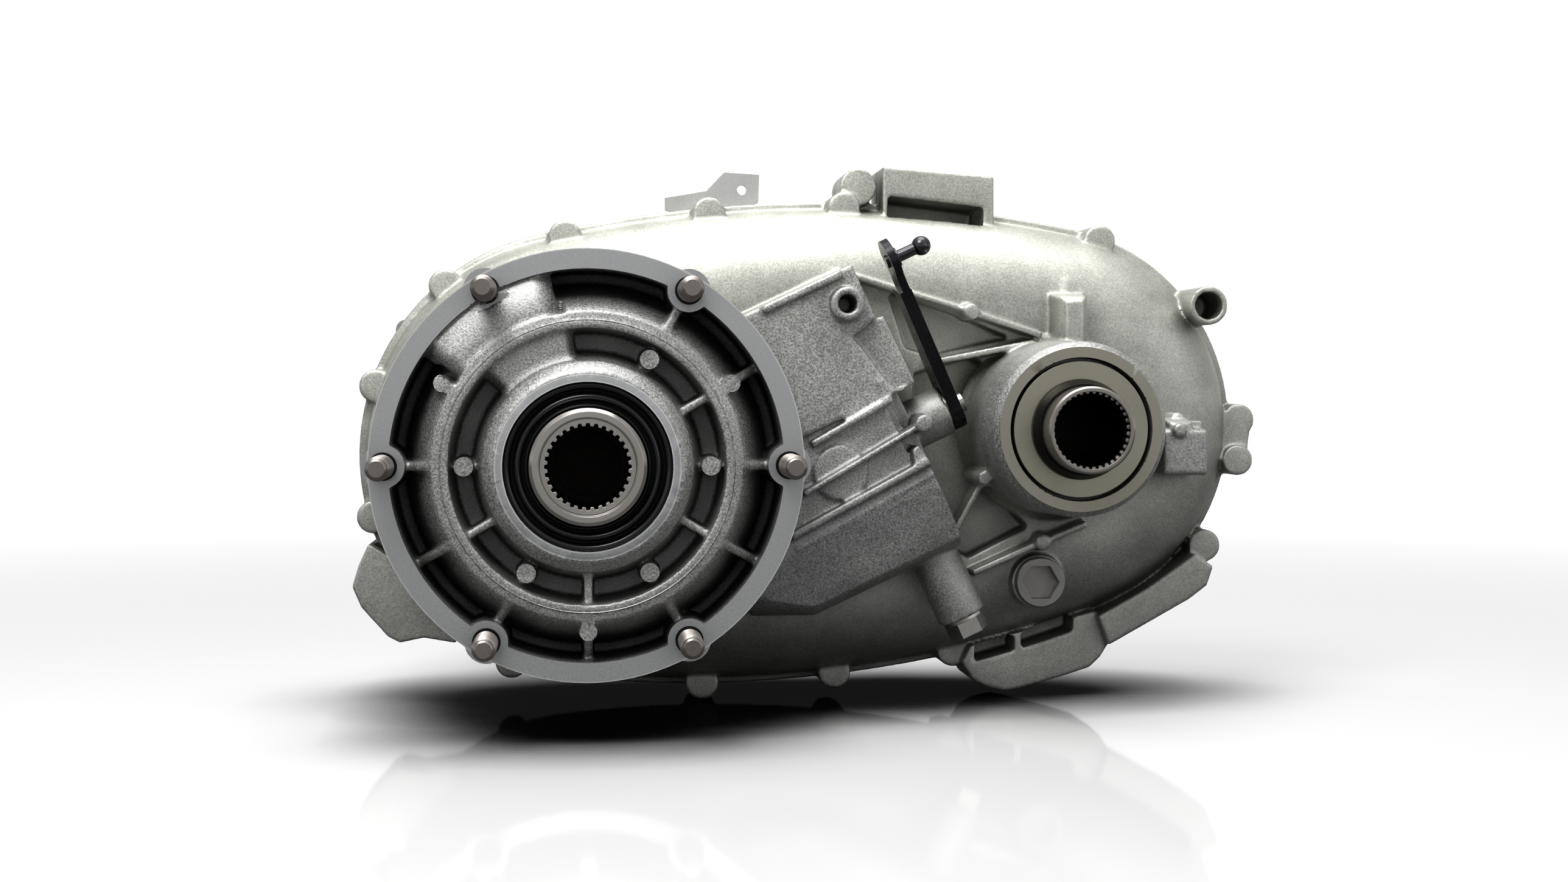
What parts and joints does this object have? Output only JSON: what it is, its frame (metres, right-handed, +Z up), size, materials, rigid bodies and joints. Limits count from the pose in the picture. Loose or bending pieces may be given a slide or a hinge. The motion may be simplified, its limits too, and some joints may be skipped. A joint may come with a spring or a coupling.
{
  "type": "transfer case",
  "caption": "Chain-driven part-time four-wheel-drive transfer case with round studded input flange, splined input and front output, side shift lever and tail housing.",
  "frame": {"origin": "centre of the input shaft on the machined face of the round input flange", "axes": "+Y rearward along the input and rear output shafts, +X towards the front output, +Z up"},
  "size_m": [0.4261, 0.36, 0.2502],
  "materials": {
    "cast_alloy": "dull die cast",
    "tail_alloy": "dull die cast",
    "zinc_fastener": "zinc plated",
    "dark_steel": "oiled steel",
    "machined_steel": "machined",
    "gear_steel": "machined",
    "lever_steel": "plated, dull",
    "seal_rubber": "matt",
    "sensor_plastic": "moulded",
    "bronze": "satin",
    "magnet_black": "matt"
  },
  "bodies": {
    "case": {"front_case": "cast_alloy", "rear_case": "cast_alloy", "tail_housing": "tail_alloy", "flange_studs": "zinc_fastener", "case_bolts": "zinc_fastener", "tail_bolts": "zinc_fastener", "dowel_pins": "machined_steel", "input_seal": "seal_rubber", "input_bearing_outer": "machined_steel", "input_bearing_rollers": "machined_steel", "bearing_snap_ring": "dark_steel", "annulus_gear": "gear_steel", "annulus_snap_ring": "dark_steel", "output_seal": "seal_rubber", "front_bearing_outer": "machined_steel", "front_bearing_rollers": "machined_steel", "needle_bearing": "machined_steel", "main_bearing_outer": "machined_steel", "main_bearing_rollers": "machined_steel", "tail_bushing": "bronze", "tail_seal": "seal_rubber", "pump_housing": "gear_steel", "oil_pickup": "dark_steel", "magnet": "magnet_black", "speed_sensor": "sensor_plastic", "fill_plug": "dark_steel", "drain_plug": "dark_steel", "detent_plug": "zinc_fastener", "harness_bracket": "lever_steel", "shift_rail": "machined_steel", "drive_chain": "dark_steel", "detent_spring": "dark_steel"},
    "input": {"input_gear": "machined_steel", "input_bearing_inner": "machined_steel", "core_plug": "lever_steel"},
    "carrier": {"planet_carrier": "gear_steel", "planet_pins": "machined_steel"},
    "planet_1": {"planet_gear_1": "gear_steel"},
    "planet_2": {"planet_gear_2": "gear_steel"},
    "planet_3": {"planet_gear_3": "gear_steel"},
    "planet_4": {"planet_gear_4": "gear_steel"},
    "main": {"mainshaft": "machined_steel", "main_bearing_inner": "machined_steel", "tone_ring": "dark_steel", "pump_rotor": "gear_steel"},
    "range_hub": {"range_hub": "gear_steel"},
    "mode_collar": {"mode_collar": "gear_steel"},
    "drive_sprocket": {"drive_sprocket": "dark_steel"},
    "front_output": {"front_output_shaft": "machined_steel", "driven_sprocket": "dark_steel", "front_bearing_inner": "machined_steel", "dust_shield": "dark_steel", "shield_lip": "seal_rubber"},
    "lever": {"shift_lever": "lever_steel", "ball_stud": "zinc_fastener", "shift_shaft": "machined_steel"},
    "range_fork": {"range_fork": "cast_alloy"},
    "mode_fork": {"mode_fork": "cast_alloy"},
    "detent": {"detent_plunger": "machined_steel"}
  },
  "joints": [
    {"name": "input_spin", "type": "hinge", "parent": "case", "child": "input", "pos_m": [0, 0.01, 0], "axis": [0, 1, 0], "continuous": true},
    {"name": "carrier_spin", "type": "hinge", "parent": "case", "child": "carrier", "pos_m": [0, 0.055, 0], "axis": [0, 1, 0], "continuous": true},
    {"name": "planet_1_spin", "type": "hinge", "parent": "carrier", "child": "planet_1", "pos_m": [0.04025, 0.055, 0], "axis": [0, 1, 0], "continuous": true},
    {"name": "planet_2_spin", "type": "hinge", "parent": "carrier", "child": "planet_2", "pos_m": [0, 0.055, 0.04025], "axis": [0, 1, 0], "continuous": true},
    {"name": "planet_3_spin", "type": "hinge", "parent": "carrier", "child": "planet_3", "pos_m": [-0.04025, 0.055, 0], "axis": [0, 1, 0], "continuous": true},
    {"name": "planet_4_spin", "type": "hinge", "parent": "carrier", "child": "planet_4", "pos_m": [0, 0.055, -0.04025], "axis": [0, 1, 0], "continuous": true},
    {"name": "main_spin", "type": "hinge", "parent": "case", "child": "main", "pos_m": [0, 0.2, 0], "axis": [0, 1, 0], "continuous": true},
    {"name": "drive_sprocket_spin", "type": "hinge", "parent": "case", "child": "drive_sprocket", "pos_m": [0, 0.1625, 0], "axis": [0, 1, 0], "continuous": true},
    {"name": "front_output_spin", "type": "hinge", "parent": "case", "child": "front_output", "pos_m": [0.21387, 0.1, 0.01361], "axis": [0, 1, 0], "continuous": true},
    {"name": "shift_lever", "type": "hinge", "parent": "case", "child": "lever", "pos_m": [0.16383, 0.084, 0.02294], "axis": [0.9048, 0, 0.4258], "range_deg": [-12, 26]},
    {"name": "range_fork_slide", "type": "slide", "parent": "case", "child": "range_fork", "axis": [0, 1, 0], "range_m": [-0.0047, 0.01]},
    {"name": "range_hub_slide", "type": "slide", "parent": "main", "child": "range_hub", "axis": [0, 1, 0], "range_m": [-0.0047, 0.01]},
    {"name": "mode_fork_slide", "type": "slide", "parent": "case", "child": "mode_fork", "axis": [0, 1, 0], "range_m": [-0.008, 0]},
    {"name": "mode_collar_slide", "type": "slide", "parent": "main", "child": "mode_collar", "axis": [0, 1, 0], "range_m": [-0.008, 0]},
    {"name": "detent_plunger_slide", "type": "slide", "parent": "case", "child": "detent", "axis": [0.4258, 0, -0.9048], "range_m": [0, 0.0015], "stiffness_N_per_m": 2000, "deforming": ["detent_spring"]}
  ],
  "couplings": [
    {"joint": "carrier_spin", "follows": "input_spin", "ratio": 0.36957},
    {"joint": "planet_1_spin", "follows": "input_spin", "ratio": -1.7862},
    {"joint": "planet_2_spin", "follows": "input_spin", "ratio": -1.7862},
    {"joint": "planet_3_spin", "follows": "input_spin", "ratio": -1.7862},
    {"joint": "planet_4_spin", "follows": "input_spin", "ratio": -1.7862},
    {"joint": "main_spin", "follows": "input_spin", "ratio": 1},
    {"joint": "drive_sprocket_spin", "follows": "input_spin", "ratio": 1},
    {"joint": "front_output_spin", "follows": "input_spin", "ratio": 1},
    {"joint": "range_fork_slide", "follows": "shift_lever", "m_per_rad": 0.022},
    {"joint": "range_hub_slide", "follows": "shift_lever", "m_per_rad": 0.022},
    {"joint": "mode_collar_slide", "follows": "mode_fork_slide", "ratio": 1}
  ]
}
